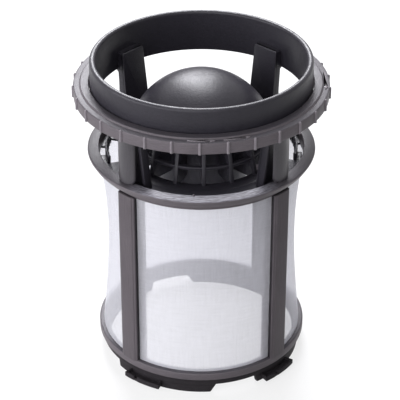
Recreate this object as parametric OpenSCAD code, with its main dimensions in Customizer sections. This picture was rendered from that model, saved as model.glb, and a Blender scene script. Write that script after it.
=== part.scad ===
// Lift-out dishwasher filter: a mesh cylinder with a coarse cup seated in its top.
// Origin at the bottom centre of the foot, +Z up, the front of the filter towards -Y.
// Angles are counted from the front (-Y) towards the right (+X).

/* [Mesh cylinder] */
// Outer radius of the mesh where the frame holds it
mesh_r = 41.4; // [36:0.2:46]
// Height of the mesh between the base ring and the mid flange
mesh_h = 77.3; // [50:1:110]
// Thickness of the mesh
mesh_t = 0.35; // [0.3:0.05:0.6]
// How far the middle of a mesh window is dished inwards
mesh_dish = 3.1; // [0:0.1:3.4]
// Radial thickness of an upright rib outside the mesh
rib_t = 1.8; // [1.2:0.1:2.6]
// Width of an upright rib, as an angle
rib_angle = 11.5; // [7:0.5:16]
// Radial thickness of the strip behind the mesh
strip_t = 1.8; // [1.7:0.1:2.4]
// How far the strip shows past the rib on each side, as an angle
strip_margin = 3; // [1:0.5:5]
// Height of the raised land along a rib
land_h = 0.25; // [0.1:0.05:0.5]
// Width of a rib's face on each side of its raised land, as an angle
land_margin = 1.6; // [1:0.1:2.4]

/* [Base ring and foot] */
// Height of the skirt that the filter stands on
skirt_h = 4.5; // [4:0.25:8]
// Thickness of the skirt wall
skirt_wall = 2; // [1.4:0.1:2.6]
// How far the skirt stands in from the mesh radius
skirt_in = 0.4; // [0.2:0.1:0.8]
// Height of the plain spigot band above the skirt
spigot_h = 3.1; // [2:0.1:6]
// How far the spigot band stands out from the mesh radius
spigot_out = 0.6; // [0.4:0.1:1]
// Height of the base ring
base_ring_h = 3.3; // [2:0.1:6]
// How far the base ring stands out from the mesh radius
base_ring_out = 1.75; // [1.4:0.05:2.6]
// Angle of each gap in the skirt, at its top
gap_angle = 24; // [14:1:30]
// Extra angle of a gap at the foot, on its left side
gap_slant = 3.6; // [0:0.2:5]
// Extra angle of a gap at the foot, on its right side
gap_lean = 1.2; // [0:0.2:5]
// Turn of the skirt gaps from the front
gap_turn = 19; // [10:1:28]

/* [Bayonet lugs] */
// Length of a bayonet lug, as an angle
lug_angle = 22; // [14:1:24]
// Turn of the left front lug's middle from the front
lug_turn_left = -36; // [-42:1:-10]
// Turn of the right front lug's middle from the front
lug_turn_right = 46; // [46:1:80]
// How far a lug stands out from the skirt
lug_out = 3.6; // [2.4:0.1:5]
// Height of the lug's lower face above the foot
lug_lift = 1.3; // [0.6:0.1:2]
// Height of the lug at its outer lip
lug_h = 2.1; // [1.4:0.1:2.6]
// Thickness of the lug's floor and lips
lug_wall = 1; // [0.8:0.1:1.3]

/* [Mid flange] */
// How far the flange's bore stands in from the mesh radius
bore_in = 0.6; // [0.4:0.1:1]
// Radial width of the flange at its top
flange_w = 5.2; // [4.2:0.1:9]
// Height of the flange's outer edge
flange_edge_h = 3.7; // [2.5:0.1:5]
// How far the flange's edge tapers in from top to bottom
flange_taper = 1.8; // [0:0.1:2.4]
// Height of the flange's top above the cup's seat
flange_rise = 5.1; // [3:0.1:7]
// Thickness of the seat that the cup stands on
seat_t = 1; // [0.8:0.1:1.6]
// How far the seat reaches in under the cup's floor
seat_w = 1.5; // [0.8:0.1:2.4]

/* [Posts and grip ring] */
// Clear height of the side ports between the flange and the grip ring
port_h = 23; // [16:0.5:34]
// How far a post stands back from the flange's bore
post_set = 0.75; // [0.4:0.05:1.5]
// Radial depth of a post
post_d = 2; // [1.8:0.1:3]
// Width of a post
post_w = 8.8; // [7:0.2:10]
// Radius of a post's rounded outer face
post_crown_r = 7.5; // [6:0.5:12]
// Radius of a post's lower corners
post_corner_r = 2; // [1:0.1:3]
// Height below the collar at which a post starts to flare outwards
post_flare_h = 3.1; // [2.6:0.1:8]
// How far the ring's bore stands out from the flange's bore
ring_bore_out = 3.4; // [2.8:0.1:6]
// Radial width of the grip ring
ring_w = 6.15; // [5:0.05:10]
// Height of the grip ring
ring_h = 4.8; // [4:0.1:7]
// Height of the raised inner band on the grip ring
ring_step_h = 0.7; // [0.3:0.1:1.2]
// Width of the raised inner band on the grip ring
ring_step_w = 3.2; // [2:0.1:4]
// Number of grip ribs round the ring
grip_count = 30; // [16:1:40]
// Radius of a grip rib
grip_rib_r = 0.6; // [0.4:0.05:0.8]
// Turn of the first grip rib from the front
grip_turn = -2.6; // [-10:0.1:10]

/* [Coarse cup] */
// Running clearance between the cup and the body
cup_clear = 0.37; // [0.3:0.01:0.5]
// Wall thickness of the collar
collar_t = 2.5; // [1.8:0.1:3.2]
// Height of the collar
collar_h = 17.4; // [10:0.2:24]
// How far the collar reaches down past the top of the grip ring
collar_sink = 7; // [6:0.1:7.5]
// Thickness of the cup's floor ring
floor_t = 2; // [1.4:0.1:2.6]
// Width of a leg at the floor
leg_foot_w = 13.4; // [12:0.2:15]
// Width of a leg at its top
leg_top_w = 11.6; // [8:0.2:11.8]
// Radial depth of a leg
leg_d = 3.7; // [3:0.1:4.6]
// How far a leg's foot stands in from its top
leg_lean = 2.6; // [0.8:0.1:3.4]
// Wall thickness of a leg's channel
leg_wall = 1.5; // [1:0.1:1.8]
// Height that a leg reaches above the collar's foot
leg_lap = 7.5; // [4:0.5:12]

/* [Cage and dome] */
// Radial width of the floor ring
floor_w = 11.13; // [9:0.01:13]
// How far the cage slopes in from its foot to the dome
cage_slope = 4.3; // [2:0.1:7]
// Height of the cage from the floor's underside to the dome
cage_h = 21.9; // [16:0.1:26]
// Number of fins in the cage
fin_count = 16; // [8:1:24]
// Thickness of a fin
fin_t = 1.6; // [1:0.1:2]
// Height of the cage's hoop
hoop_h = 1.3; // [0.9:0.1:2]
// Height of the hoop above the floor's underside
hoop_lift = 8; // [6:0.5:12]
// Radial width of the hoop
hoop_w = 2.2; // [1.4:0.1:3]
// Radial depth of the cage under the dome, from its outside to the inner drum
cage_d = 6.8; // [5:0.1:9]
// How far the drum reaches down below the floor ring
drum_drop = 9; // [4:0.5:14]
// Wall thickness of the drum
drum_t = 1.6; // [1.2:0.1:2.4]
// Rise of the dome above the top of the cage
dome_rise = 13.5; // [9:0.1:16]
// Thickness of the dome
dome_t = 1.8; // [1.2:0.1:2.4]

/* [Press flaps] */
// Length of a press flap, as an angle
flap_angle = 28; // [18:1:34]
// Height of a press flap above the floor
flap_h = 11; // [3:0.5:14]
// Thickness of a press flap
flap_t = 1.1; // [0.8:0.1:1.4]
// Width of the slot that frees a press flap
flap_slot_w = 3.6; // [2.4:0.1:4]
// Angle of the notch in the floor's edge beside a press flap
notch_angle = 13; // [8:1:18]
// Radial depth of the notch
notch_d = 2.3; // [1.4:0.1:3]
// Number of finger ribs on a press flap
flap_ribs = 7; // [3:2:9]

/* [Hidden] */
$fn = 96;
// Overlap of features that are one moulding, and how far a cut passes its edge
weld = 0.4;
cut = 1;
// Broken edges, small and large
edge = 0.3;
chamfer = 0.5;
// Play of the mesh between its rib and strip, and of a strip's edge behind the dish
mesh_play = 0.12;
dish_play = 0.1;
// Material left above a skirt gap, and the step inside the foot
lintel_h = 0.3;
foot_step = 0.4;
// Shares of a lug's length at which its lip is open
lug_notch = [0.3, 0.38];
// How far the hoop stands out from the mesh radius
hoop_out = 0.6;
// Thickness of the grip ring's outer wall, web and rim under its top
ring_wall = 1.5;
ring_web = 2;
// Facets of small round features
small_fn = 24;
// Moulding nub on the flange: its turn from the front and its radius
nub_turn = -6;
nub_r = 0.4;
// Finger ribs of a press flap
finger_r = 0.5;
// Lip at the edge of the dome
lip_w = 2.4;
lip_h = 0.8;
body_grey = "#6b6468";
cup_grey = "#3f3f46";
mesh_white = "#eef0f4";
quarter = [45, 135, 225, 315];
sides = [-90, 90];

spigot_z = skirt_h;
base_ring_z = spigot_z + spigot_h;
mesh_z = base_ring_z + base_ring_h;
hoop_z = mesh_z + mesh_h;
seat_z = hoop_z + seat_t;
flange_z = seat_z + flange_rise;
ring_z = flange_z + port_h;
ring_top_z = ring_z + ring_h;
ring_step_z = ring_top_z + ring_step_h;

skirt_r = mesh_r - skirt_in;
spigot_r = mesh_r + spigot_out;
base_ring_r = mesh_r + base_ring_out;
rib_r = mesh_r + rib_t;
lug_r = skirt_r + lug_out;
skirt_inner_r = skirt_r - skirt_wall;
foot_inner_r = skirt_inner_r + foot_step;
strip_r = mesh_r - mesh_t - mesh_play;
strip_edge_r = strip_r - mesh_dish * dish_across(strip_margin / (90 - rib_angle)) - dish_play;
flange_bore_r = mesh_r - bore_in;
flange_r = flange_bore_r + flange_w;
seat_r = flange_bore_r - seat_w;
hoop_r = mesh_r + hoop_out;
ring_bore_r = flange_bore_r + ring_bore_out;
ring_r = ring_bore_r + ring_w;
post_inner_r = flange_bore_r + post_set;
post_r = post_inner_r + post_d;
flare_r = ring_bore_r + post_d;

cup_floor_r = flange_bore_r - cup_clear;
floor_top_z = seat_z + floor_t;
collar_r = ring_bore_r - cup_clear;
collar_bore_r = collar_r - collar_t;
collar_z = ring_top_z - collar_sink;
collar_top_z = collar_z + collar_h;
flare_z = collar_z - post_flare_h;
leg_top_z = collar_z + leg_lap;
leg_r = post_inner_r - cup_clear - edge;
cage_foot_r = cup_floor_r - floor_w;
cage_top_r = cage_foot_r - cage_slope;
drum_r = cage_top_r - cage_d;
cage_top_z = seat_z + cage_h;
dome_r = (cage_top_r * cage_top_r + dome_rise * dome_rise) / (2 * dome_rise);
dome_centre_z = cage_top_z + dome_rise - dome_r;
hoop_at_r = cage_foot_r - (cage_foot_r - cage_top_r) * hoop_lift / cage_h;
notch_r = cup_floor_r - notch_d;
flap_r = notch_r;
slot_r = flap_r - flap_t;

// Turns a part that is drawn at the front to an angle round the filter
module turned(angle) {
    rotate([0, 0, angle]) children();
}

// Sweeps a profile of radius and height between two angles from the front
module sector(from, to) {
    turned(from - 90) rotate_extrude(angle = to - from) children();
}

// Profile of a plain band: inner and outer radius, lower and upper height
module band(r_in, r_out, z_low, z_high) {
    translate([r_in, z_low]) square([r_out - r_in, z_high - z_low]);
}

// Draws an outline of width and height on the plane y = -r_out and gives it depth inwards
module facing(r_out, depth) {
    translate([0, depth - r_out, 0]) rotate([90, 0, 0]) linear_extrude(depth) children();
}

// Draws an outline of radius and height at the front and gives it width from side to side
module across(width) {
    rotate([0, 0, -90]) translate([0, width / 2, 0]) rotate([90, 0, 0]) linear_extrude(width) children();
}

// One gap in the skirt, wider at the foot than at its top
module skirt_gap() {
    top = skirt_r * sin(gap_angle / 2);
    left = top + skirt_r * sin(gap_slant) * (1 + cut / skirt_h);
    right = top + skirt_r * sin(gap_lean) * (1 + cut / skirt_h);
    lintel_z = skirt_h - lintel_h;
    facing(lug_r + cut, lug_r - skirt_inner_r + 4 * cut)
        polygon([[-left, -cut], [right, -cut], [top, lintel_z], [-top, lintel_z]]);
}

// One bayonet lug: a tray with an upturned lip, open at a notch a third of the way along
module bayonet_lug() {
    end = asin(lug_wall / lug_r);
    top_z = lug_lift + lug_h;
    difference() {
        sector(0, lug_angle) band(skirt_r - weld, lug_r, lug_lift, top_z);
        sector(end, lug_angle - end)
            band(skirt_r - weld / 2, lug_r - lug_wall, lug_lift + lug_wall, top_z + cut);
        sector(lug_angle * lug_notch[0], lug_angle * lug_notch[1])
            band(skirt_r - weld / 2, lug_r + cut, lug_lift + lug_wall, top_z + cut);
    }
}

// Base ring, spigot band and skirt as one turned wall, with four gaps and four bayonet lugs
module foot() {
    difference() {
        rotate_extrude()
            polygon([
                [skirt_inner_r, 0], [skirt_r, 0], [skirt_r, spigot_z], [spigot_r, spigot_z],
                [spigot_r, base_ring_z], [base_ring_r, base_ring_z], [base_ring_r, mesh_z - chamfer],
                [base_ring_r - chamfer, mesh_z], [foot_inner_r, mesh_z], [foot_inner_r, spigot_z + foot_step],
                [skirt_inner_r, spigot_z]
            ]);
        for (angle = quarter)
            turned(angle - quarter[0] + gap_turn) skirt_gap();
    }
    for (angle = [lug_turn_left, lug_turn_right], half = [0, 180])
        turned(angle + half - lug_angle / 2) bayonet_lug();
}

// One upright rib outside the mesh, with its strip behind the mesh
module upright() {
    half = rib_angle / 2;
    sector(-half, half) band(mesh_r, rib_r, mesh_z - weld, hoop_z + weld);
    sector(-half + land_margin, half - land_margin)
        band(rib_r - weld, rib_r + land_h, mesh_z - weld / 2, hoop_z + weld);
    sector(-half, half) band(strip_edge_r - weld / 2, strip_r, mesh_z - weld, hoop_z + weld);
    sector(-half - strip_margin, half + strip_margin)
        band(strip_r - strip_t, strip_edge_r, mesh_z - weld, hoop_z + weld);
}

// Mid flange with its tapered edge, the hoop above the mesh and the cup's seat
module mid_flange() {
    rotate_extrude() {
        polygon([
            [flange_bore_r, seat_z], [hoop_r, seat_z],
            [hoop_r, flange_z - flange_edge_h], [flange_r - flange_taper, flange_z - flange_edge_h],
            [flange_r - edge, flange_z - edge], [flange_r - edge - weld, flange_z],
            [flange_bore_r + edge, flange_z], [flange_bore_r, flange_z - edge]
        ]);
        band(seat_r, hoop_r, hoop_z, seat_z);
    }
}

// Upright outline of a post's raised face: a tall pad with rounded lower corners
module post_outline() {
    half = post_w / 2;
    corner = post_corner_r;
    translate([-half, flange_z + corner]) square([post_w, flare_z - flange_z - corner + cut]);
    translate([-half + corner, flange_z - weld]) square([post_w - 2 * corner, corner + 2 * weld]);
    for (side = [-1, 1])
        translate([side * (half - corner), flange_z + corner]) circle(corner, $fn = 32);
}

// One post with a crowned face in front of a plain core, flared outwards under the grip ring
module post() {
    core_in = 0.9;
    flare_in = 0.6;
    shelf_h = 0.5;
    intersection() {
        facing(post_r, post_d) post_outline();
        translate([0, post_crown_r - post_r, flange_z - cut])
            cylinder(r = post_crown_r, h = port_h + 2 * cut);
    }
    facing(post_r - core_in, post_d - core_in)
        translate([-post_w / 2 + core_in, flange_z - weld])
            square([post_w - 2 * core_in, flare_z - flange_z + cut]);
    across(post_w - 2 * weld)
        polygon([
            [post_inner_r, flare_z], [post_r - flare_in, flare_z], [flare_r, collar_z - 2 * cut],
            [flare_r, ring_z + weld], [ring_bore_r, ring_z + weld], [ring_bore_r, collar_z - flare_in],
            [post_inner_r, collar_z - flare_in - shelf_h]
        ]);
}

// Grip ring: stepped top, cored-out underside and rounded grip ribs
module grip_ring() {
    step_r = ring_bore_r + ring_step_w;
    difference() {
        rotate_extrude()
            polygon([
                [ring_bore_r, ring_z], [ring_r - edge, ring_z], [ring_r, ring_z + edge],
                [ring_r, ring_top_z - chamfer], [ring_r - chamfer, ring_top_z],
                [step_r + chamfer, ring_top_z], [step_r, ring_step_z],
                [ring_bore_r + weld, ring_step_z], [ring_bore_r, ring_step_z - weld]
            ]);
        rotate_extrude() band(flare_r + edge, ring_r - ring_wall, ring_z - cut, ring_top_z - ring_web);
    }
    for (i = [0:grip_count - 1])
        turned(360 / grip_count * i + grip_turn)
            translate([0, -ring_r, ring_z - weld])
                cylinder(r = grip_rib_r, h = ring_h + grip_rib_r, $fn = small_fn);
}

module filter_body() {
    color(body_grey) {
        foot();
        mid_flange();
        grip_ring();
        for (angle = quarter)
            turned(angle) {
                upright();
                post();
            }
        // Moulding nub on the flange's inner edge
        turned(nub_turn)
            translate([0, -flange_bore_r - nub_r, flange_z - nub_r / 2])
                cylinder(r = nub_r, h = 2 * nub_r, $fn = small_fn);
    }
}

// Share of the full dish: nothing at the ends of the mesh, most a little above the middle
function dish_up(s) = pow(max(0, sin(180 * pow(s, 1.3))), 0.7);
// Share of the full dish across a window: nothing along the ribs, most half way between them
function dish_across(u) = pow(sin(180 * u), 0.6);

// Mesh sleeve: a thin sheet round the cylinder, dished inwards between the ribs
module mesh_sleeve() {
    half = rib_angle / 2;
    window = 90 - rib_angle;
    panel_steps = 10;
    rows = 12;
    // Angles round one quarter, from the middle of a rib, and the window share at each
    angles = concat([0], [for (k = [0:panel_steps]) half + window * k / panel_steps]);
    shares = concat([0], [for (k = [0:panel_steps]) k / panel_steps]);
    per_quarter = len(angles);
    columns = 4 * per_quarter;
    function radius_at(k, s) = mesh_r - mesh_dish * dish_up(s) * dish_across(shares[k]);
    function point(i, j, inset) =
        let (
            k = i % per_quarter,
            turn = quarter[floor(i / per_quarter)] + angles[k],
            s = j / rows,
            r = radius_at(k, s) - inset
        )
        [r * sin(turn), -r * cos(turn), mesh_z + mesh_h * s];
    outer = [for (j = [0:rows], i = [0:columns - 1]) point(i, j, 0)];
    inner = [for (j = [0:rows], i = [0:columns - 1]) point(i, j, mesh_t)];
    skip = len(outer);
    function next(i) = (i + 1) % columns;
    function at(i, j) = j * columns + i;
    outside = [for (j = [0:rows - 1], i = [0:columns - 1]) each [
        [at(i, j), at(i, j + 1), at(next(i), j + 1)], [at(i, j), at(next(i), j + 1), at(next(i), j)]
    ]];
    inside = [for (f = outside) [for (v = [2, 1, 0]) f[v] + skip]];
    rims = [for (i = [0:columns - 1]) each [
        [at(i, 0), at(next(i), 0), at(next(i), 0) + skip],
        [at(i, 0), at(next(i), 0) + skip, at(i, 0) + skip],
        [at(i, rows), at(next(i), rows) + skip, at(next(i), rows)],
        [at(i, rows), at(i, rows) + skip, at(next(i), rows) + skip]
    ]];
    color(mesh_white) polyhedron(points = concat(outer, inner), faces = concat(outside, inside, rims));
}

// Collar with a full round rim
module collar() {
    rim_r = collar_t / 2;
    rotate_extrude() {
        band(collar_bore_r, collar_r, collar_z, collar_top_z - rim_r);
        translate([collar_bore_r + rim_r, collar_top_z - rim_r]) circle(rim_r, $fn = 48);
    }
}

// Radius of a leg's outer face at a height: it leans in towards the floor
function leg_r_at(z) = leg_r - leg_lean * (collar_z - z) / (collar_z - seat_z);

// Outline of a leg's face, narrower by inset all round: a tall trapezoid with cut top corners
module leg_face(inset) {
    foot = leg_foot_w / 2 - inset;
    top = leg_top_w / 2 - inset;
    polygon([
        [-foot, seat_z + inset], [foot, seat_z + inset], [top, leg_top_z - chamfer - inset],
        [top - chamfer, leg_top_z - inset], [chamfer - top, leg_top_z - inset],
        [-top, leg_top_z - chamfer - inset]
    ]);
}

// One leg: a channel that opens outwards and runs up inside the collar as a solid head
module leg() {
    collar_lap = collar_bore_r + weld;
    void_top_z = collar_z - edge;
    floor_d = leg_d - leg_wall;
    difference() {
        intersection() {
            facing(collar_r, collar_r - drum_r) leg_face(0);
            across(2 * leg_foot_w)
                polygon([
                    [leg_r_at(seat_z) - leg_d, seat_z], [leg_r_at(seat_z), seat_z], [leg_r, collar_z],
                    [leg_r, collar_z + edge], [collar_lap, collar_z + edge], [collar_lap, leg_top_z],
                    [leg_r_at(leg_top_z) - leg_d, leg_top_z]
                ]);
        }
        intersection() {
            facing(collar_r, collar_r - drum_r) leg_face(leg_wall);
            across(2 * leg_foot_w)
                polygon([
                    [leg_r_at(seat_z) - floor_d, seat_z], [collar_r, seat_z], [collar_r, void_top_z],
                    [leg_r_at(void_top_z) - floor_d, void_top_z]
                ]);
        }
    }
}

// Floor ring with the slots and edge notches of the press flaps
module cup_floor() {
    half = flap_angle / 2;
    difference() {
        rotate_extrude() band(cage_foot_r, cup_floor_r, seat_z, floor_top_z);
        for (side = sides)
            turned(side) {
                sector(-half, half) band(slot_r - flap_slot_w, slot_r, seat_z - cut, floor_top_z + cut);
                sector(-notch_angle / 2, notch_angle / 2)
                    band(notch_r, cup_floor_r + cut, seat_z - cut, floor_top_z + cut);
            }
    }
}

// One press flap: an upright springy wall with finger ribs on its inner face
module press_flap() {
    half = flap_angle / 2;
    finger_z = seat_z + floor_t / 2;
    sector(-half, half) band(slot_r, flap_r, seat_z, floor_top_z + flap_h);
    for (k = [1:flap_ribs])
        turned(flap_angle * (k / (flap_ribs + 1) - 1 / 2))
            translate([0, -slot_r, finger_z])
                cylinder(r = finger_r, h = floor_top_z + flap_h - chamfer - finger_z, $fn = small_fn);
}

// One fin of the cage, from the drum to the cage's slanting outside
module fin() {
    across(fin_t)
        polygon([
            [drum_r - drum_t / 2, seat_z], [cage_foot_r + weld, seat_z], [cage_foot_r, floor_top_z],
            [cage_top_r, cage_top_z + weld], [drum_r - drum_t / 2, cage_top_z + weld]
        ]);
}

// Cage: fins round the inner drum, tied by a hoop
module cage() {
    for (i = [0:fin_count - 1])
        turned(360 / fin_count * i) fin();
    rotate_extrude() {
        band(hoop_at_r - hoop_w, hoop_at_r, seat_z + hoop_lift, seat_z + hoop_lift + hoop_h);
        band(drum_r - drum_t, drum_r, seat_z - drum_drop, cage_top_z + weld);
    }
}

// Dome: a spherical cap with a short lip at its edge, on the top of the drum
module dome() {
    mid_r = dome_r - dome_t / 2;
    difference() {
        translate([0, 0, dome_centre_z]) sphere(dome_r);
        translate([0, 0, dome_centre_z]) sphere(dome_r - dome_t);
        translate([0, 0, cage_top_z - 2 * dome_r]) cylinder(r = 2 * dome_r, h = 2 * dome_r);
    }
    rotate_extrude() {
        band(cage_top_r - lip_w, cage_top_r, cage_top_z - lip_h, cage_top_z + lip_h);
        band(drum_r - drum_t, drum_r, cage_top_z, dome_centre_z + sqrt(mid_r * mid_r - drum_r * drum_r));
    }
}

module coarse_cup() {
    color(cup_grey) {
        collar();
        cup_floor();
        cage();
        dome();
        for (angle = quarter)
            turned(angle) leg();
        for (side = sides)
            turned(side) press_flap();
    }
}

filter_body();
mesh_sleeve();
coarse_cup();
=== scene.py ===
"""Looks of a lift-out dishwasher filter: a woven mesh cylinder with a coarse cup seated in its top.

Sizes are in millimetres and turned into metres where a mesh is made. The camera and the studio are
in metres. Angles are in degrees, from the front (-Y) towards the right (+X).
"""

import math

import bpy
import numpy as np
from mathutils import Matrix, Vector


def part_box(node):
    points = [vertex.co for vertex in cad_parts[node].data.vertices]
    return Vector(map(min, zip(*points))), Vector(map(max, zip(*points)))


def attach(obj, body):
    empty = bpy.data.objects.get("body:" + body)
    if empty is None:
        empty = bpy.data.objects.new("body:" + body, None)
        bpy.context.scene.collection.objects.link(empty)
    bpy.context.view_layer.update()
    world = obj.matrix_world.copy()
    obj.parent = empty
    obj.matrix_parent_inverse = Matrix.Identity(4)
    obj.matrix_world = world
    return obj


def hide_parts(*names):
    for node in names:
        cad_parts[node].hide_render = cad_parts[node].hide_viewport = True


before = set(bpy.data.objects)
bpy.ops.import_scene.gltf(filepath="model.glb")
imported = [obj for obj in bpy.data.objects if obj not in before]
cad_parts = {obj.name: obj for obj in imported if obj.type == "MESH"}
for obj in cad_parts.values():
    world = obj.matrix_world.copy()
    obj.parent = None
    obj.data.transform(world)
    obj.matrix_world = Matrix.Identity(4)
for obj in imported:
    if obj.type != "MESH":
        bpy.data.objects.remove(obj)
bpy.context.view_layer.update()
scene = bpy.context.scene
MM = 0.001


def corners_of(node):
    """Lowest and highest corner of a CAD node, in millimetres."""
    return [np.array(corner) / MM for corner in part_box(node)]


body_low, body_high = corners_of("filter_body")
sleeve_low, sleeve_high = corners_of("mesh_sleeve")
cup_low, cup_high = corners_of("coarse_cup")

# Places that the frame gives
FOOT_Z = body_low[2]
RING_STEP_Z = body_high[2]
MESH_Z = sleeve_low[2]
HOOP_Z = sleeve_high[2]
SEAT_Z = HOOP_Z + 1
DRUM_Z = cup_low[2]
COLLAR_TOP_Z = cup_high[2]
COLLAR_R = cup_high[0]
MESH_R = 41.4
QUARTERS = (45, 135, 225, 315)
SIDES = (-90, 90)

# Mesh sleeve, with the arc length of a degree round it
MESH_T = 0.06
MESH_DISH = 3.1
THREAD_PITCH = 0.3
RIB_ANGLE = 11.5
PER_DEGREE = MESH_R * math.pi / 180

# Upright ribs and the strips behind the mesh
RIB_R = MESH_R + 1.8
LAND_R = RIB_R + 0.25
LAND_MARGIN = 1.6
STRIP_R = 40.93
STRIP_EDGE_R = 39.95
STRIP_INNER_R = 39.13
STRIP_MARGIN = 3

# Foot
SKIRT_TOP_Z = FOOT_Z + 4.5
SPIGOT_TOP_Z = SKIRT_TOP_Z + 3.1
LINTEL_Z = SKIRT_TOP_Z - 0.3
SKIRT_INNER_R, SKIRT_R = 39.0, 41.0
SPIGOT_R, BASE_RING_R = 42.0, 43.15
GAP_TURN = 19
GAP_HALF, GAP_SLANT, GAP_LEAN = 12, 3.66, 1.21
LUG_TURNS, LUG_ANGLE = (-36, 46, 144, 226), 22
LUG_R, LUG_LIP = 44.6, 1.0
LUG_LOW_Z, LUG_FLOOR_Z, LUG_TOP_Z = 1.3, 2.3, 3.4

# Mid flange, posts and grip ring
FLANGE_TOP_Z = SEAT_Z + 5.1
FLANGE_LOW_Z = FLANGE_TOP_Z - 3.7
FLANGE_R, FLANGE_FOOT_R, FLANGE_BORE_R = 46.0, 44.2, 41.05
SEAT_R, HOOP_R = 39.3, 42.0
SEAT_GAP_HALF = 15
NUB_TURN, NUB_R = -6, 0.4
RING_Z = FLANGE_TOP_Z + 23
RING_TOP_Z = RING_Z + 4.8
RING_BORE_R, RING_R, RING_STEP_R = 44.2, 50.35, 47.4
CORE_R, CORE_OUT_R, CORE_Z = 46.5, 48.85, RING_TOP_Z - 2
GRIP_COUNT, GRIP_R, GRIP_TURN = 30, 0.6, -2.6
ARROW_R, ARROW_SHAFT, ARROW_HEAD, ARROW_HEAD_LENGTH = 48.85, 0.28, 0.82, 2.0
POST_HALF_W, POST_CORNER, POST_CROWN_R, POST_EDGE = 4.4, 2.0, 7.5, 0.45
POST_INNER_R, POST_R, POST_SHIFT = 41.55, 43.55, 2.65

# Coarse cup
FLOOR_T = 2
FLOOR_TOP_Z = SEAT_Z + FLOOR_T
FLOOR_R = 40.43
COLLAR_T = 2.5
COLLAR_Z = COLLAR_TOP_Z - 17.4
FLARE_Z, FLARE_TOP_Z = COLLAR_Z - 3.1, COLLAR_Z - 0.2
CAGE_FOOT_R, CAGE_TOP_R, CAGE_H = 29.3, 25.0, 21.9
CAGE_TOP_Z = SEAT_Z + CAGE_H
DOME_RISE, DOME_T = 13.5, 1.8
DRUM_R, DRUM_T = 18.2, 1.6
FIN_COUNT, FIN_T = 16, 1.6
HOOP_LIFT, HOOP_H, HOOP_W = 8, 1.3, 2.2
LEG_R, LEG_INNER_R, LEG_WALL, LEG_LEAN = 40.88, 37.18, 1.5, 2.6
LEG_HALF_FOOT, LEG_HALF_TOP, LEG_CORNER = 6.7, 5.8, 0.5
LEG_TOP_Z = COLLAR_Z + 7.5
FLAP_HALF, FLAP_H = 15, 3
FLAP_INNER_R, FLAP_R, SLOT_R = 37.7, 38.6, 33.43
FINGER_RIBS, FINGER_RIB_R = 7, 0.5
NOTCH_HALF = 5

# Colours of the plastics, and the painted shade and highlights laid on them
BODY = (0.110, 0.0965, 0.1055)
UPRIGHT = (0.094, 0.082, 0.0895)
# Darker copy of the body plastic: painted shade on the posts under the grip ring
POST_SHADED = (0.040, 0.0365, 0.042)
# Darker copy of the body plastic: painted shade on the foot under the base ring
FOOT_SHADED = (0.030, 0.0268, 0.0295)
# Lighter copy of the body plastic: a painted highlight on the grip ribs and the arrows
HIGHLIT_RIDGE = (0.17, 0.152, 0.166)
CUP = (0.023, 0.0213, 0.0275)
# Lavender painted highlight on up-facing faces near the front
FRONT_HIGHLIGHT = (0.36, 0.355, 0.40)
# Near-black painted shadow on the ribs' side walls where they meet the mesh
SHADOW_LINE = (0.006, 0.0055, 0.007)
# Tint of the painted shade on faces that look up
TOP_SHADE_TINT = (0.92, 0.97, 1.06)

# Colours of the mesh, and of the light that comes through it
CLOTH_DARK, CLOTH_LIGHT = (0.79, 0.79, 0.83), (0.85, 0.85, 0.89)
CLOTH_GLOW = (0.86, 0.86, 0.93, 1)

# How finely noise varies along the angle, the radius and the height
ROUND_FLOW = (14, 2600, 2600)
UPRIGHT_FLOW = (115, 2600, 130)
CUP_FLOW = (22, 1500, 1500)

# Camera at the photograph's angle, in metres
CAMERA_AZIMUTH, CAMERA_ELEVATION = -1.9, 31.4
CAMERA_LENS, CAMERA_DISTANCE = 152.7, 0.6942
CAMERA_AIM_Z, CAMERA_AIM_SIDE = 0.0671, -0.00057

# Studio, in metres
FLOOR_SHOWS = 0.75
AMBIENT = 0.14
LAMP_COLOUR = (0.955, 0.955, 1)
LAMP_DISTANCE, LAMP_AIM_Z = 0.9, 0.1


def rounded(corners, radius, steps=4):
    """Closed outline whose corners become arcs: the arc's centre lies on the corner's bisector at
    radius / sin(half angle), and the arc runs between the two points where it touches the sides."""
    corner = np.array(corners, float)
    back = np.roll(corner, 1, axis=0) - corner
    ahead = np.roll(corner, -1, axis=0) - corner
    back_length, ahead_length = np.hypot(*back.T), np.hypot(*ahead.T)
    back, ahead = back / back_length[:, None], ahead / ahead_length[:, None]
    half = np.arccos(np.clip((back * ahead).sum(1), -1, 1)) / 2
    longest = 0.48 * np.minimum(back_length, ahead_length)
    reach = np.minimum(np.asarray(radius, float) / np.tan(half), longest)
    middle = (back + ahead) / np.hypot(*(back + ahead).T)[:, None]
    centre = corner + middle * (reach / np.cos(half))[:, None]
    start = (corner + back * reach[:, None] - centre)[:, None]
    stop = (corner + ahead * reach[:, None] - centre)[:, None]
    turn = (np.pi - 2 * half)[:, None, None]
    t = np.linspace(0, 1, steps + 1)[None, :, None]
    arc = (np.sin((1 - t) * turn) * start + np.sin(t * turn) * stop) / np.sin(turn)
    return (centre[:, None] + arc).reshape(-1, 2)


def box_outline(low, high, radius):
    """Rounded rectangle between two corners."""
    (a, b), (c, d) = low, high
    return rounded([(a, b), (c, b), (c, d), (a, d)], radius)


def dense(outline, step):
    """The same closed outline with a point at least every step along its length."""
    closed = np.vstack([outline, outline[:1]])
    along = np.concatenate([[0], np.cumsum(np.hypot(*np.diff(closed, axis=0).T))])
    places = np.unique(np.concatenate([along[:-1], np.arange(0, along[-1], step)]))
    places = places[np.append(True, np.diff(places) > step / 20)]
    return np.column_stack([np.interp(places, along, closed[:, k]) for k in (0, 1)])


def inset(outline, distances):
    """The outline moved inwards by each distance along its own normals: a ring of points per distance."""
    along = np.roll(outline, -1, axis=0) - np.roll(outline, 1, axis=0)
    normal = np.column_stack([along[:, 1], -along[:, 0]]) / np.hypot(*along.T)[:, None]
    x, y = outline.T
    winding = np.sign(np.sum(x * np.roll(y, -1) - np.roll(x, -1) * y))
    return outline - winding * normal * np.asarray(distances, float)[:, None, None]


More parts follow.
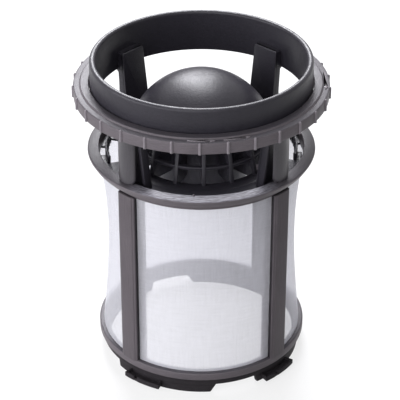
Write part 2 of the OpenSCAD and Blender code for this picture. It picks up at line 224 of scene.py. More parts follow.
def grid_quads(rows, columns, wrap_rows=False):
    """Four-cornered faces of a grid of points whose columns close on themselves."""
    i = np.arange(rows if wrap_rows else rows - 1)[:, None]
    j = np.arange(columns)[None, :]
    row, row_next, j_next = i * columns, (i + 1) % rows * columns, (j + 1) % columns
    return np.stack([row + j, row + j_next, row_next + j_next, row_next + j], axis=-1).reshape(-1, 4)


def outwards(points, faces):
    """The shell with its faces pointing outwards: turned round if its signed volume is negative."""
    volume = sum(
        np.einsum("ik,ijk->", points[f[:, 0]], np.cross(points[f[:, 1:-1]], points[f[:, 2:]]))
        for f in faces
    )
    return points, faces if volume > 0 else [f[:, ::-1] for f in faces]


def polar(r, angle, z):
    """Point at radius r, angle from the front and height z: (r sin a, -r cos a, z)."""
    a = np.radians(angle)
    return np.stack(np.broadcast_arrays(r * np.sin(a), -r * np.cos(a), z), axis=-1)


def standing(angle):
    """Places an outline of side offset and height at an angle, with its depth along the radius."""
    a = math.radians(angle)

    def place(x, z, r):
        to_right = x * math.cos(a) + r * math.sin(a)
        to_back = x * math.sin(a) - r * math.cos(a)
        return np.stack(np.broadcast_arrays(to_right, to_back, z), axis=-1)
    return place


def edge_on(angle):
    """Places an outline of radius and height at an angle, with its depth to the side."""
    place = standing(angle)
    return lambda r, z, x: place(x, z, r)


def extruded(outline, low, high, edge, place, middle=2, steps=3):
    """Outline carried from low to high, with both ends drawn in along quarter circles of radius edge."""
    t = np.linspace(0, np.pi / 2, steps + 1)
    between = np.linspace(low + edge, high - edge, middle)[1:-1]
    spots = np.concatenate([low + edge * (1 - np.cos(t)), between, high - edge * (1 - np.cos(t[::-1]))])
    insets = np.concatenate([edge * (1 - np.sin(t)), 0 * between, edge * (1 - np.sin(t[::-1]))])
    rings = inset(outline, insets)
    points = place(rings[..., 0], rings[..., 1], spots[:, None]).reshape(-1, 3)
    rows, columns = rings.shape[:2]
    ring = np.arange(columns)[None]
    return outwards(points, [grid_quads(rows, columns), ring[:, ::-1], ring + (rows - 1) * columns])


def sector(outline, start, stop, edge=0.25, step=1.5):
    """Profile of radius and height swept from one angle to another, with rounded ends."""
    reach = np.mean(outline[:, 0]) * math.pi / 180
    middle = max(2, int(abs(stop - start) / step) + 2)

    def place(r, z, w):
        return polar(r, w / reach, z)
    return extruded(outline, start * reach, stop * reach, edge, place, middle)


def upright_bar(outline, angle, low, high, edge=0.02, step=0.8, steps=3):
    """Outline of radius and of arc length at the mesh, laid about an angle and carried upwards."""
    def place(s, r, z):
        return polar(r, angle + s / PER_DEGREE, z)
    return extruded(dense(outline, step), low, high, edge, place, steps=steps)


def turned(outline, columns=240):
    """Closed profile of radius and height turned all the way round the axis."""
    angles = np.arange(columns) * 360 / columns
    points = polar(outline[None, :, 0], angles[:, None], outline[None, :, 1]).reshape(-1, 3)
    return outwards(points, [grid_quads(columns, len(outline), wrap_rows=True)])


def turned_cap(profile, columns=180):
    """Open profile turned round the axis, on which its first and its last point lie."""
    angles = np.arange(columns) * 360 / columns
    rings = profile[1:-1]
    points = polar(rings[:, None, 0], angles[None, :], rings[:, None, 1]).reshape(-1, 3)
    poles = np.array([[0, 0, profile[0][1]], [0, 0, profile[-1][1]]])
    j = np.arange(columns)
    j_next = (j + 1) % columns
    last = (len(rings) - 1) * columns
    first_pole = np.full(columns, len(points))
    first_fan = np.stack([first_pole, j_next, j], axis=-1)
    last_fan = np.stack([first_pole + 1, last + j, last + j_next], axis=-1)
    return outwards(np.vstack([points, poles]), [grid_quads(len(rings), columns), first_fan, last_fan])


def pin(x, y, radius, low, high, columns=20):
    """Upright round pin with a domed top: a quarter circle of its own radius, turned about its axis."""
    t = np.linspace(np.pi / 2, 0, 6)[1:]
    top = np.column_stack([radius * np.cos(t), high - radius + radius * np.sin(t)])
    points, faces = turned_cap(np.vstack([(0, high), top, (radius, low), (0, low)]), columns)
    return points + [x, y, 0], faces


def joined(shells):
    """Several closed shells as one list of points and one list of faces."""
    points = np.vstack([s[0] for s in shells])
    starts = np.cumsum([0] + [len(s[0]) for s in shells[:-1]])
    faces = [row for start, s in zip(starts, shells) for f in s[1] for row in (f + start).tolist()]
    return points, faces


def piece(name, shells, body, node, material, crease=38):
    """A named object made of closed shells, riding on its body in place of its CAD node."""
    points, faces = joined(shells)
    mesh = bpy.data.meshes.new(name)
    mesh.from_pydata(points * MM, [], faces)
    mesh.polygons.foreach_set("use_smooth", np.ones(len(mesh.polygons), bool))
    mesh.set_sharp_from_angle(angle=math.radians(crease))
    mesh.materials.append(material)
    made = bpy.data.objects.new(name, mesh)
    scene.collection.objects.link(made)
    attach(made, body)
    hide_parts(node)
    return made


def direction(azimuth, elevation):
    """Unit vector towards an angle round the axis, in degrees, and an angle above the floor."""
    up = math.radians(elevation)
    return Vector(polar(math.cos(up), azimuth, math.sin(up)).tolist())


def make_camera():
    """Camera that looks along the photograph's line of sight at a point beside the filter's axis."""
    back = direction(CAMERA_AZIMUTH, CAMERA_ELEVATION)
    right = direction(CAMERA_AZIMUTH + 90, 0)
    camera = bpy.data.objects.new("camera", bpy.data.cameras.new("camera"))
    camera.data.lens = CAMERA_LENS
    camera.data.sensor_width = 36
    camera.data.clip_start, camera.data.clip_end = 0.02, 20
    camera.location = Vector((0, 0, CAMERA_AIM_Z)) + right * CAMERA_AIM_SIDE + back * CAMERA_DISTANCE
    camera.rotation_euler = (-back).to_track_quat("-Z", "Y").to_euler()
    scene.collection.objects.link(camera)
    scene.camera = camera


class Value:
    """A socket of a graph. Arithmetic on it adds Math nodes and gives another Value."""

    def __init__(self, graph, socket):
        self.graph, self.socket = graph, socket

    def also(self, name):
        """Another output of the same node."""
        return Value(self.graph, self.socket.node.outputs[name])

    def then(self, operation, *others):
        """A Math node whose first value is this one."""
        return self.graph.maths(operation, self, *others)

    def __add__(self, other):
        return self.then("ADD", other)

    def __sub__(self, other):
        return self.then("SUBTRACT", other)

    def __rsub__(self, other):
        return self.graph.maths("SUBTRACT", other, self)

    def __mul__(self, other):
        return self.then("MULTIPLY", other)

    def __truediv__(self, other):
        return self.then("DIVIDE", other)

    def __rtruediv__(self, other):
        return self.graph.maths("DIVIDE", other, self)

    __radd__, __rmul__ = __add__, __mul__


class Graph:
    """The nodes of a material or a world."""

    def __init__(self, owner):
        owner.use_nodes = True
        self.tree = owner.node_tree
        self.tree.nodes.clear()

    def node(self, kind, settings=None, sockets=None, output=0):
        """Adds a node: its settings first, then the value or link of each socket, by place or by name."""
        made = self.tree.nodes.new(kind)
        for name, value in (settings or {}).items():
            setattr(made, name, value)
        for key, value in (sockets or {}).items():
            if isinstance(value, Value):
                self.tree.links.new(value.socket, made.inputs[key])
            else:
                made.inputs[key].default_value = value
        return Value(self, made.outputs[output]) if made.outputs else made

    def maths(self, operation, *values):
        """Math node on sockets or numbers."""
        return self.node("ShaderNodeMath", {"operation": operation}, dict(enumerate(values)))

    def mix_colour(self, factor, first, second):
        """Colour between two colours, each given as numbers or as a socket."""
        first, second = (c if isinstance(c, Value) else (*c, 1) for c in (first, second))
        return self.node("ShaderNodeMix", {"data_type": "RGBA"}, {0: factor, 6: first, 7: second}, 2)

    def ramp(self, value, none, full):
        """0 at one value, 1 at the other and a smooth step between."""
        return self.node("ShaderNodeMapRange", {"interpolation_type": "SMOOTHSTEP"},
                         {0: value, 1: none, 2: full, 3: 0.0, 4: 1.0})

    def noise(self, place, scale, detail=2.0):
        """Soft noise between 0 and 1."""
        return self.node("ShaderNodeTexNoise", {}, {"Vector": place, "Scale": scale, "Detail": detail})


def moulded_plastic(name, colour, roughness, specular, flow, streak_share=0.5, top_shade_share=1.0,
                    front_highlight=0.0, painted_shadow_line=False, grain_depth=0.00014):
    """Moulded plastic with faint streaks along its flow. The streaks are noise on round coordinates:
    the angle atan2(y, x), the radius sqrt(x^2 + y^2) and the height, each counted by its own share of
    flow. A slow drift and an even spark-eroded grain are laid over them. Faces that look up are
    darkened to top_shade_share of the colour and tinted, a painted shade; front_highlight paints a highlight
    in long scratch-like streaks on those near the front; painted_shadow_line paints a shadow line beside the
    mesh."""
    material = bpy.data.materials.new(name)
    graph = Graph(material)
    place = graph.node("ShaderNodeTexCoord", output="Object")
    x = graph.node("ShaderNodeSeparateXYZ", {}, {0: place})
    y, z = x.also("Y"), x.also("Z")
    angle, radius = y.then("ARCTAN2", x), (x * x + y * y).then("SQRT")
    around, across, up = flow
    drawn = graph.node("ShaderNodeCombineXYZ", {}, {0: angle * around, 1: radius * across, 2: z * up})
    streaks = graph.noise(drawn, 1.0, 3)
    drift = graph.noise(place, 55)
    grain = graph.noise(place, 1900, 3)
    dark, light = (tuple(c * share for c in colour) for share in (0.35, 1.65))
    tone = streaks * streak_share + grain * (0.7 - streak_share) + drift * 0.3
    base = graph.mix_colour(tone, dark, light)
    normal = graph.node("ShaderNodeNewGeometry", output="Normal")
    looks_up = graph.ramp(graph.node("ShaderNodeSeparateXYZ", {}, {0: normal}, "Z"), 0.55, 0.85)
    # Painted shade: faces that look up are darkened to top_shade_share of the colour and tinted
    if top_shade_share < 1:
        top = [c * top_shade_share * tint for c, tint in zip(colour, TOP_SHADE_TINT)]
        base = graph.mix_colour(looks_up * (1 - tone * 0.5), base, top)
    # Painted highlight: front_highlight lightens up-facing faces near the front, in long scratch-like
    # streaks
    if front_highlight:
        near_front = graph.ramp(y / radius, -0.72, -0.86)
        highlight_streaks = looks_up * near_front * graph.ramp(streaks, 0.25, 0.7)
        base = graph.mix_colour(highlight_streaks * front_highlight, base, FRONT_HIGHLIGHT)
    # Painted shade: the ribs' side walls are darkened near the mesh into a shadow line
    if painted_shadow_line:
        below_face = graph.ramp(radius, (RIB_R - 0.2) * MM, (RIB_R - 0.8) * MM)
        above_mesh = graph.ramp(radius, (MESH_R - 0.2) * MM, MESH_R * MM)
        base = graph.mix_colour(below_face * above_mesh * 0.85, base, SHADOW_LINE)
    bump = graph.node("ShaderNodeBump", {}, {
        "Height": streaks * 0.6 + grain * 0.4,
        "Strength": 0.55,
        "Distance": grain_depth,
    })
    finish = graph.node("ShaderNodeBsdfPrincipled", {}, {
        "Base Color": base,
        "Roughness": roughness + (grain - 0.5) * 0.25 + (streaks - 0.5) * 0.2,
        "Specular IOR Level": specular,
        "Normal": bump,
    })
    graph.node("ShaderNodeOutputMaterial", {}, {"Surface": finish})
    return material


def woven_mesh(name):
    """Fine plain weave on a map that counts threads. Each thread is a round bump, over and under its
    neighbours by turns. The cloth hides most along a thread and least between the threads, with long
    slubs both ways, and all of it lies in the outer wall."""
    material = bpy.data.materials.new(name)
    graph = Graph(material)
    half_width, between, along = 0.22, 0.46, 0.78
    slub_depth, slub_fine, slub_long = 0.22, 0.45, 0.03
    thread_map = graph.node("ShaderNodeUVMap", {"uv_map": "threads"})
    warp_at = graph.node("ShaderNodeSeparateXYZ", {}, {0: thread_map})
    weft_at = warp_at.also("Y")

    def thread(count):
        """1 at the middle of a thread and 0 past its edge."""
        off_middle = (count.then("FRACT") - 0.5).then("ABSOLUTE")
        return graph.ramp(off_middle, half_width * 1.25, half_width * 0.75)

    def slubs(across, up):
        """Noise on the count of threads, drawn out along the direction with the smaller share."""
        drawn = graph.node("ShaderNodeCombineXYZ", {}, {0: warp_at * across, 1: weft_at * up})
        return graph.noise(drawn, 1.0)

    warp, weft = thread(warp_at), thread(weft_at)
    cover = warp.then("MAXIMUM", weft)
    parity = (warp_at.then("FLOOR") + weft_at.then("FLOOR")) * 0.5
    over = parity.then("FRACT") * 2
    height = warp * over + weft * (1 - over)
    bump = graph.node("ShaderNodeBump", {}, {"Height": height, "Strength": 0.4, "Distance": 0.00006})
    place = graph.node("ShaderNodeTexCoord", output="Object")
    outer_wall = graph.node("ShaderNodeAttribute", {"attribute_name": "outer_wall"}, output="Fac")
    both_slubs = slubs(slub_fine, slub_long) + slubs(slub_long, slub_fine)
    uneven = (both_slubs - 1) * slub_depth + 1
    hides = (cover * (along - between) + between) * outer_wall * uneven
    finish = graph.node("ShaderNodeBsdfPrincipled", {}, {
        "Base Color": graph.mix_colour(graph.noise(place, 300), CLOTH_DARK, CLOTH_LIGHT),
        "Roughness": 0.5,
        "Alpha": hides,
        "Normal": bump,
    })
    open_air = graph.node("ShaderNodeBsdfTransparent")
    glow = graph.node("ShaderNodeBsdfTranslucent", {}, {"Color": CLOTH_GLOW})
    threads_lit_through = graph.node("ShaderNodeMixShader", {}, {0: hides, 1: open_air, 2: glow})
    cloth = graph.node("ShaderNodeMixShader", {}, {0: 0.35, 1: finish, 2: threads_lit_through})
    graph.node("ShaderNodeOutputMaterial", {}, {"Surface": cloth})
    return material


def grip_ring():
    """Stepped ring with a cored-out underside."""
    profile = rounded([
        (RING_BORE_R, RING_Z), (CORE_R, RING_Z), (CORE_R, CORE_Z), (CORE_OUT_R, CORE_Z),
        (CORE_OUT_R, RING_Z), (RING_R, RING_Z), (RING_R, RING_TOP_Z), (RING_STEP_R + 0.5, RING_TOP_Z),
        (RING_STEP_R, RING_STEP_Z), (RING_BORE_R, RING_STEP_Z)
    ], [0.2, 0.2, 0.3, 0.3, 0.2, 0.35, 0.55, 0.25, 0.25, 0.35])
    return [turned(profile, 360)]


def grip_ribs():
    """Half-round ribs round the ring's outer face, each a pin with a domed top."""
    shells = []
    for k in range(GRIP_COUNT):
        x, y, _ = polar(RING_R, 360 / GRIP_COUNT * k + GRIP_TURN, 0)
        shells.append(pin(x, y, GRIP_R, RING_Z + 0.05, RING_TOP_Z + 0.2))
    return shells


def arrow(centre, length, heading):
    """Flat raised arrow that follows the ring's top. A heading of 1 points round to the right of the
    front, and -1 the other way."""
    tip, neck = length / 2, length / 2 - ARROW_HEAD_LENGTH
    half = np.array([(-tip, ARROW_SHAFT), (neck, ARROW_SHAFT), (neck, ARROW_HEAD)])
    outline = np.vstack([half * [1, -1], [(tip, 0)], half[::-1]]) * [heading, 1] + [0, ARROW_R]
    flat = rounded(outline, 0.08, 2)
    return upright_bar(flat, centre, RING_TOP_Z - 0.2, RING_TOP_Z + 0.35, 0.1, step=0.6, steps=2)


def turning_arrows():
    """Two short arrows at the front and a longer one at the right."""
    return [arrow(-2, 9, 1), arrow(14, 9, 1), arrow(88, 13, -1)]


def posts():
    """Crowned pads that carry the grip ring. Each is a stack of sections whose outer side is an arc
    that ends in quarter circles: narrow at its foot, where the pad's lower corners are arcs, and
    pushed outwards along an S-curve at its flare. A plain core stands behind it."""
    z = np.concatenate([
        FLANGE_TOP_Z - 0.1 + POST_CORNER * (1 - np.cos(np.linspace(0, np.pi / 2, 8))),
        np.linspace(FLANGE_TOP_Z + POST_CORNER + 0.5, FLARE_Z, 4),
        np.linspace(FLARE_Z, FLARE_TOP_Z, 10)[1:],
        [RING_Z + 0.5]
    ])
    lift = np.clip((z - FLARE_Z) / (FLARE_TOP_Z - FLARE_Z), 0, 1)
    push = POST_SHIFT * lift * lift * (3 - 2 * lift)
    low = np.clip(POST_CORNER - (z - FLANGE_TOP_Z), 0, POST_CORNER)
    half = POST_HALF_W - POST_CORNER + np.sqrt(POST_CORNER ** 2 - low ** 2) - 0.4 * lift
    x = np.sin(np.linspace(np.pi / 2, -np.pi / 2, 31))
    section = np.vstack([[(-1, 0), (1, 0)], np.column_stack([x, np.ones(len(x))])])
    across = section[None, :, 0] * half[:, None]
    past = np.clip(np.abs(across) - half[:, None] + POST_EDGE, 0, POST_EDGE)
    crown = POST_CROWN_R - np.sqrt(POST_CROWN_R ** 2 - across ** 2)
    crown = crown + POST_EDGE - np.sqrt(POST_EDGE ** 2 - past ** 2)
    depth = POST_R - POST_INNER_R
    thickness = depth - crown * (1 - 0.5 * lift[:, None])
    radius = POST_INNER_R + push[:, None] + section[None, :, 1] * thickness
    rows, columns = radius.shape
    ring = np.arange(columns)[None]
    faces = [grid_quads(rows, columns), ring[:, ::-1], ring + (rows - 1) * columns]
    core = box_outline((-POST_HALF_W + 0.8, FLANGE_TOP_Z - 0.3), (POST_HALF_W - 0.8, FLARE_Z), 0.25)
    shells = []
    for angle in QUARTERS:
        points = standing(angle)(across, z[:, None], radius).reshape(-1, 3)
        shells.append(outwards(points, faces))
        shells.append(extruded(core, POST_INNER_R, POST_R - 0.9, 0.2, standing(angle)))
    return shells


def mid_flange():
    """Flange with a tapered edge and the hoop above the mesh as one turned profile, with a small nub
    at its bore. The cup's seat inside it is open beside the press flaps."""
    profile = rounded([
        (FLANGE_BORE_R, HOOP_Z), (HOOP_R, HOOP_Z), (HOOP_R, FLANGE_LOW_Z), (FLANGE_FOOT_R, FLANGE_LOW_Z),
        (FLANGE_R, FLANGE_TOP_Z - 0.7), (FLANGE_BORE_R, FLANGE_TOP_Z)
    ], [0.15, 0.2, 0.25, 0.3, 0.6, 0.35])
    seat = box_outline((SEAT_R, HOOP_Z + 0.01), (FLANGE_BORE_R + 0.3, SEAT_Z), 0.2)
    seats = [sector(seat, side + SEAT_GAP_HALF, side + 180 - SEAT_GAP_HALF) for side in SIDES]
    nub_x, nub_y, _ = polar(FLANGE_BORE_R + 0.432, NUB_TURN, 0)
    nub = pin(nub_x, nub_y, NUB_R, FLANGE_TOP_Z - 0.3, FLANGE_TOP_Z + 0.6)
    return [turned(profile, 300), *seats, nub]


def uprights():
    """Ribs outside the mesh with a raised land, and the wider strips behind the mesh."""
    rib = RIB_ANGLE / 2 * PER_DEGREE
    land = (RIB_ANGLE / 2 - LAND_MARGIN) * PER_DEGREE
    wide = (RIB_ANGLE / 2 + STRIP_MARGIN) * PER_DEGREE
    face = rounded([
        (-rib, MESH_R - 0.1), (rib, MESH_R - 0.1), (rib, RIB_R), (land + 0.2, RIB_R),
        (land, LAND_R), (-land, LAND_R), (-land - 0.2, RIB_R), (-rib, RIB_R)
    ], [0.05, 0.05, 0.4, 0.1, 0.1, 0.1, 0.1, 0.4])
    strip = rounded([
        (-wide, STRIP_INNER_R), (wide, STRIP_INNER_R), (wide, STRIP_EDGE_R), (rib, STRIP_EDGE_R),
        (rib, STRIP_R), (-rib, STRIP_R), (-rib, STRIP_EDGE_R), (-wide, STRIP_EDGE_R)
    ], [0.3, 0.3, 0.2, 0.1, 0.1, 0.1, 0.1, 0.2])
    return [
        upright_bar(outline, angle, MESH_Z - 0.4, HOOP_Z + 0.3)
        for angle in QUARTERS for outline in (face, strip)
    ]


def base_ring():
    """Ring under the mesh."""
    low, high = (SKIRT_INNER_R + 0.4, SPIGOT_TOP_Z), (BASE_RING_R, MESH_Z)
    profile = box_outline(low, high, [0.1, 0.3, 0.6, 0.3])
    return [turned(profile, 300)]


def spigot():
    """Plain band between the base ring and the skirt."""
    inner_r = SKIRT_INNER_R + 0.4
    profile = rounded([
        (SKIRT_INNER_R, LINTEL_Z), (SKIRT_R, LINTEL_Z), (SKIRT_R, SKIRT_TOP_Z), (SPIGOT_R, SKIRT_TOP_Z),
        (SPIGOT_R, SPIGOT_TOP_Z + 0.3), (inner_r, SPIGOT_TOP_Z + 0.3), (inner_r, SKIRT_TOP_Z + 0.4),
        (SKIRT_INNER_R, SKIRT_TOP_Z)
    ], [0.15, 0.1, 0.1, 0.3, 0.1, 0.1, 0.2, 0.2])
    return [turned(profile, 300)]


def skirt():
    """Four wall segments whose ends slant, so that the gaps between them are wider at the foot."""
    profile = dense(box_outline((SKIRT_INNER_R, FOOT_Z), (SKIRT_R, SKIRT_TOP_Z + 0.1), 0.35), 1.0)
    half_top = 45 - GAP_HALF
    half_length = half_top * SKIRT_R * math.pi / 180

    def segment(centre):
        def place(r, z, w):
            way_down = np.clip(1 - (z - FOOT_Z) / (LINTEL_Z - FOOT_Z), 0, 1)
            half = half_top - np.where(w < 0, GAP_LEAN, GAP_SLANT) * way_down
            return polar(r, centre + w / half_length * half, z)
        return extruded(profile, -half_length, half_length, 0.35, place, middle=50)
    return [segment(GAP_TURN + quarter) for quarter in QUARTERS]


def bayonet_lugs():
    """Trays with an upturned lip round three sides and a notch in the outer lip."""
    end = math.degrees(LUG_LIP / LUG_R)
    floor = box_outline((SKIRT_R - 0.4, LUG_LOW_Z), (LUG_R - 0.1, LUG_FLOOR_Z), 0.25)
    lip = box_outline((LUG_R - LUG_LIP, LUG_LOW_Z), (LUG_R, LUG_TOP_Z), 0.25)
    cheek = box_outline((SKIRT_R - 0.4, LUG_LOW_Z + 0.1), (LUG_R - 0.05, LUG_TOP_Z), 0.25)
    shells = []
    for turn in LUG_TURNS:
        start = turn - LUG_ANGLE / 2
        stop, notch, notch_stop = (start + LUG_ANGLE * share for share in (1, 0.3, 0.38))
        shells += [
            sector(floor, start + 0.05, stop - 0.05),
            sector(lip, start, notch),
            sector(lip, notch_stop, stop),
            sector(cheek, start, start + end),
            sector(cheek, stop - end, stop)
        ]
    return shells


def sleeve_radius(share, window):
    """Radius of the mesh: dished inwards by sin(180 s^1.3)^0.7 up a window times sin(180 u)^0.6 across."""
    up = np.clip(np.sin(np.pi * share ** 1.3), 0, 1) ** 0.7
    across = np.clip(np.sin(np.pi * window), 0, 1) ** 0.6
    return MESH_R - 0.05 - MESH_DISH * up * across


def mesh_sleeve(material):
    """Closed thin sheet round the cylinder: an outer and an inner wall a thread's thickness apart,
    with the threads counted on its own map."""
    rows, per_quarter = 72, 60
    columns = 4 * per_quarter
    column = np.arange(columns)
    angle = 45 + 90 * column / per_quarter
    half = RIB_ANGLE / 2
    window = np.clip(((angle - 45) % 90 - half) / (90 - RIB_ANGLE), 0, 1)
    share = np.linspace(0, 1, rows)[:, None]
    outer_r = sleeve_radius(share, window[None])
    z = MESH_Z + (HOOP_Z - MESH_Z) * share
    outer = polar(outer_r, angle[None], z)
    inner = polar(outer_r[::-1] - MESH_T, angle[None], z[::-1])
    points = np.vstack([outer, inner]).reshape(-1, 3)
    quads = grid_quads(2 * rows, columns, wrap_rows=True)
    thread_count = round(2 * math.pi * MESH_R / THREAD_PITCH)
    i, j = (a.ravel() for a in np.meshgrid(np.arange(2 * rows), column, indexing="ij"))
    up = np.concatenate([share[:, 0], share[::-1, 0]]) * (HOOP_Z - MESH_Z) / THREAD_PITCH
    i_next = (i + 1) % (2 * rows)
    u = np.stack([j, j + 1, j + 1, j], axis=-1) * thread_count / columns
    v = np.stack([up[i], up[i], up[i_next], up[i_next]], axis=-1)
    made = piece("woven_sleeve", [(points, [quads])], "cylinder", "mesh_sleeve", material)
    layer = made.data.uv_layers.new(name="threads")
    layer.data.foreach_set("uv", np.stack([u, v], axis=-1).astype(np.float32).ravel())
    wall = made.data.attributes.new("outer_wall", "FLOAT", "FACE")
    wall.data.foreach_set("value", (i < rows - 1).astype(np.float32))
    return made


def collar():
    """Tall ring of the cup with a full round rim."""
    inner_r, rim = COLLAR_R - COLLAR_T, COLLAR_T / 2
    profile = rounded([
        (inner_r, COLLAR_Z), (COLLAR_R, COLLAR_Z), (COLLAR_R, COLLAR_TOP_Z), (inner_r, COLLAR_TOP_Z)
    ], [0.25, 0.35, rim * 0.97, rim * 0.97], 8)
    return [turned(profile, 300)]


def leg_half(z):
    """Half the width of a leg at a height."""
    share = (z - SEAT_Z) / (LEG_TOP_Z - LEG_CORNER - SEAT_Z)
    return LEG_HALF_FOOT + (LEG_HALF_TOP - LEG_HALF_FOOT) * share


def leaning(angle):
    """Places an outline like standing does, but nearer the axis the lower it lies, by the legs' lean."""
    place = standing(angle)
    return lambda x, z, r: place(x, z, r - LEG_LEAN * (COLLAR_Z - z) / (COLLAR_Z - SEAT_Z))


def legs():
    """Channels that open outwards: a tapering back plate, two side walls and a foot, and a solid head
    that runs up inside the collar."""
    shoulder = LEG_TOP_Z - LEG_CORNER
    tip = LEG_HALF_TOP - LEG_CORNER
    foot, waist = leg_half(SEAT_Z), leg_half(COLLAR_Z)
    top = [(LEG_HALF_TOP, shoulder), (tip, LEG_TOP_Z), (-tip, LEG_TOP_Z), (-LEG_HALF_TOP, shoulder)]
    plate = rounded([(-foot, SEAT_Z), (foot, SEAT_Z), *top], 0.4)
    head = rounded([(-waist, COLLAR_Z), (waist, COLLAR_Z), *top], 0.35)
    sole = box_outline((-foot + 0.1, SEAT_Z), (foot - 0.1, SEAT_Z + LEG_WALL), 0.3)
    wall_z = COLLAR_Z + 1
    wall_x = leg_half(wall_z)
    wall = np.array([
        (foot - LEG_WALL, SEAT_Z), (foot, SEAT_Z), (wall_x, wall_z), (wall_x - LEG_WALL, wall_z)
    ])
    walls = [rounded(wall * [side, 1], 0.3) for side in (-1, 1)]
    shells = []
    for angle in QUARTERS:
        place = leaning(angle)
        shells.append(extruded(plate, LEG_INNER_R, LEG_INNER_R + LEG_WALL, 0.35, place))
        shells.append(extruded(head, LEG_INNER_R + 0.1, COLLAR_R - COLLAR_T + 0.4, 0.3, place))
        for outline in (sole, *walls):
            shells.append(extruded(outline, LEG_INNER_R + 0.5, LEG_R, 0.3, place))
    return shells


def cup_floor():
    """Floor ring in parts round the slots and edge notches of the press flaps: a thick inner ring, a
    thinner plate outside it, a foot under the plate where the seat is, and the edge past the slots."""
    plate_z, foot_start = SEAT_Z + 1, SEAT_GAP_HALF + 1
    inner = box_outline((CAGE_FOOT_R - 2, SEAT_Z), (SLOT_R, FLOOR_TOP_Z), [0.2, 0.2, 0.3, 0.4])
    plate = box_outline((SLOT_R - 0.5, plate_z), (FLOOR_R, FLOOR_TOP_Z - 0.01), 0.25)
    foot = box_outline((SEAT_R - 1, SEAT_Z), (FLOOR_R - 0.05, plate_z + 0.3), 0.25)
    edge = box_outline((FLAP_R - 0.3, plate_z), (FLOOR_R, FLOOR_TOP_Z), 0.25)
    shells = [turned(inner)]
    for side in SIDES:
        shells.append(sector(plate, side + FLAP_HALF, side + 180 - FLAP_HALF))
        shells.append(sector(foot, side + foot_start, side + 180 - foot_start))
        shells.append(sector(edge, side - FLAP_HALF - 0.5, side - NOTCH_HALF))
        shells.append(sector(edge, side + NOTCH_HALF, side + FLAP_HALF + 0.5))
    return shells


def press_flaps():
    """Thin upright walls with finger ribs on their inner faces."""
    top_z = FLOOR_TOP_Z + FLAP_H
    wall = box_outline((FLAP_INNER_R, SEAT_Z), (FLAP_R, top_z), [0.2, 0.2, 0.45, 0.45])
    step = 2 * FLAP_HALF / FINGER_RIBS
    shells = []
    for side in SIDES:
        shells.append(sector(wall, side - FLAP_HALF - 0.4, side + FLAP_HALF + 0.4))
        for k in range(FINGER_RIBS):
            x, y, _ = polar(FLAP_INNER_R, side + (k - FINGER_RIBS // 2) * step, 0)
            shells.append(pin(x, y, FINGER_RIB_R, SEAT_Z + 1, top_z - 0.5, 16))
    return shells


def cage():
    """Fins round the inner drum, tied by a hoop."""
    fin_r, fin_top_z = DRUM_R - 0.8, CAGE_TOP_Z + 0.2
    fin = rounded([
        (fin_r, SEAT_Z), (CAGE_FOOT_R + 0.4, SEAT_Z), (CAGE_FOOT_R, FLOOR_TOP_Z),
        (CAGE_TOP_R - 0.05, fin_top_z), (fin_r, fin_top_z)
    ], [0.2, 0.2, 0.5, 0.3, 0.2])
    hoop_r = CAGE_FOOT_R - (CAGE_FOOT_R - CAGE_TOP_R) * HOOP_LIFT / CAGE_H
    hoop_z = SEAT_Z + HOOP_LIFT
    hoop = box_outline((hoop_r - HOOP_W, hoop_z), (hoop_r, hoop_z + HOOP_H), 0.35)
    drum = box_outline((DRUM_R - DRUM_T, DRUM_Z), (DRUM_R, CAGE_TOP_Z + 3), 0.3)
    fins = [
        extruded(fin, -FIN_T / 2, FIN_T / 2, 0.25, edge_on(360 / FIN_COUNT * k))
        for k in range(FIN_COUNT)
    ]
    return [turned(hoop, 180), turned(drum, 160), *fins]


def dome():
    """Spherical cap with a short lip. Its radius is (edge^2 + rise^2) / (2 rise)."""
    ball = (CAGE_TOP_R ** 2 + DOME_RISE ** 2) / (2 * DOME_RISE)
    centre_z = CAGE_TOP_Z + DOME_RISE - ball
    lip_w, lip_z = 2.4, CAGE_TOP_Z - 0.8
    outer_t = np.linspace(0, math.asin(0.992 * CAGE_TOP_R / ball), 40)
    inner = ball - DOME_T
    inner_t = np.linspace(math.asin((CAGE_TOP_R - lip_w) / inner), 0, 30)
    profile = np.vstack([
        np.column_stack([ball * np.sin(outer_t), centre_z + ball * np.cos(outer_t)]),
        [(CAGE_TOP_R, CAGE_TOP_Z), (CAGE_TOP_R, lip_z + 0.3), (CAGE_TOP_R - 0.3, lip_z)],
        [(CAGE_TOP_R - lip_w, lip_z)],
        np.column_stack([inner * np.sin(inner_t), centre_z + inner * np.cos(inner_t)])
    ])
    return [turned_cap(profile)]


def seen_ray(graph):
    """1 for a ray that shows the background: from the camera, in a reflection or through something clear."""
    camera = graph.node("ShaderNodeLightPath", output="Is Camera Ray")
    total = camera + camera.also("Is Glossy Ray") + camera.also("Is Transmission Ray")
    return total.then("MINIMUM", 1)


def soft_light(name, azimuth, elevation, size, power):
    """Square soft light at an angle round the filter, aimed at its upper part."""
    back = direction(azimuth, elevation)
    lamp = bpy.data.objects.new(name, bpy.data.lights.new(name, "AREA"))
    lamp.data.size = size
    lamp.data.energy = power
    lamp.data.color = LAMP_COLOUR
    lamp.location = Vector((0, 0, LAMP_AIM_Z)) + back * LAMP_DISTANCE
    lamp.rotation_euler = (-back).to_track_quat("-Z", "Y").to_euler()
    scene.collection.objects.link(lamp)


def surroundings():
    """Surroundings that are white where they are seen and give only a little light."""
    world = bpy.data.worlds.new("studio")
    scene.world = world
    graph = Graph(world)
    strength = seen_ray(graph) * (1 - AMBIENT) + AMBIENT
    sky = graph.node("ShaderNodeBackground", {}, {"Color": (1, 1, 1, 1), "Strength": strength})
    graph.node("ShaderNodeOutputWorld", {}, {"Surface": sky})


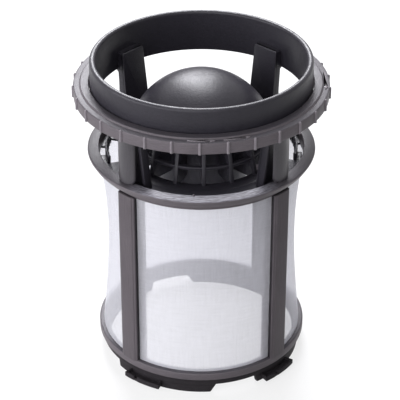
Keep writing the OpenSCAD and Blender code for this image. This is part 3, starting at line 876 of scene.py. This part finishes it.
def studio_floor():
    """Flat floor, nearly white where it is seen and darker where it throws light back."""
    material = bpy.data.materials.new("pale_floor")
    graph = Graph(material)
    seen = seen_ray(graph)
    tone = graph.mix_colour(seen, (0.30, 0.30, 0.30), (0.90, 0.90, 0.90))
    matte = graph.node("ShaderNodeBsdfDiffuse", {}, {"Color": tone})
    white = graph.node("ShaderNodeEmission", {}, {"Color": (1, 1, 1, 1), "Strength": 1.0})
    surface = graph.node("ShaderNodeMixShader", {}, {0: seen * FLOOR_SHOWS, 1: matte, 2: white})
    graph.node("ShaderNodeOutputMaterial", {}, {"Surface": surface})
    reach = 1.5
    corners = [(-reach, -reach, 0), (reach, -reach, 0), (reach, reach, 0), (-reach, reach, 0)]
    mesh = bpy.data.meshes.new("floor")
    mesh.from_pydata(corners, [], [(0, 1, 2, 3)])
    mesh.materials.append(material)
    floor = bpy.data.objects.new("floor", mesh)
    scene.collection.objects.link(floor)


def studio():
    """White surroundings, pale floor and soft lights."""
    surroundings()
    studio_floor()
    soft_light("back_light", 185, 38, 0.42, 11)
    soft_light("high_back_light", 180, 60, 0.35, 6)
    soft_light("left_light", -76, 12, 0.6, 5.2)
    soft_light("front_left_light", -45, 12, 0.6, 2.6)
    soft_light("front_light", -15, 15, 0.6, 2.2)
    soft_light("high_front_light", -15, 50, 0.6, 2.5)


make_camera()
studio()

round_body = moulded_plastic("body_plastic_round", BODY, 0.46, 0.24, ROUND_FLOW, top_shade_share=0.45)
flange_body = moulded_plastic("body_plastic_flange", BODY, 0.46, 0.24, ROUND_FLOW, top_shade_share=0.3,
                              front_highlight=0.62)
upright_body = moulded_plastic("body_plastic_upright", UPRIGHT, 0.50, 0.15, UPRIGHT_FLOW,
                               painted_shadow_line=True)
# Painted shade: a darker copy of the body plastic for the posts under the grip ring
shaded_post_body = moulded_plastic("body_plastic_post_shaded", POST_SHADED, 0.38, 0.45, UPRIGHT_FLOW, 0.3)
# Painted shade: a darker copy of the body plastic for the spigot, the skirt and the lugs
shaded_foot_body = moulded_plastic("body_plastic_foot_shaded", FOOT_SHADED, 0.50, 0.06, ROUND_FLOW)
# Painted highlight: a lighter, glossier copy of the body plastic for the grip ribs and the arrows
highlit_body = moulded_plastic("body_plastic_highlit", HIGHLIT_RIDGE, 0.36, 0.35, UPRIGHT_FLOW)
cup_finish = moulded_plastic("cup_plastic", CUP, 0.38, 0.26, CUP_FLOW, 0.3, grain_depth=0.00017)

for name, shells, finish in (
    ("grip_ring", grip_ring(), round_body),
    ("grip_ribs", grip_ribs(), highlit_body),
    ("turning_arrows", turning_arrows(), highlit_body),
    ("posts", posts(), shaded_post_body),
    ("mid_flange", mid_flange(), flange_body),
    ("uprights", uprights(), upright_body),
    ("base_ring", base_ring(), round_body),
    ("spigot", spigot(), shaded_foot_body),
    ("skirt", skirt(), shaded_foot_body),
    ("bayonet_lugs", bayonet_lugs(), shaded_foot_body),
):
    piece(name, shells, "cylinder", "filter_body", finish)

for name, shells in (
    ("collar", collar()),
    ("legs", legs()),
    ("cup_floor", cup_floor()),
    ("press_flaps", press_flaps()),
    ("cage", cage()),
    ("dome", dome()),
):
    piece(name, shells, "cup", "coarse_cup", cup_finish)

mesh_sleeve(woven_mesh("woven_mesh"))

scene.view_settings.view_transform = "Standard"
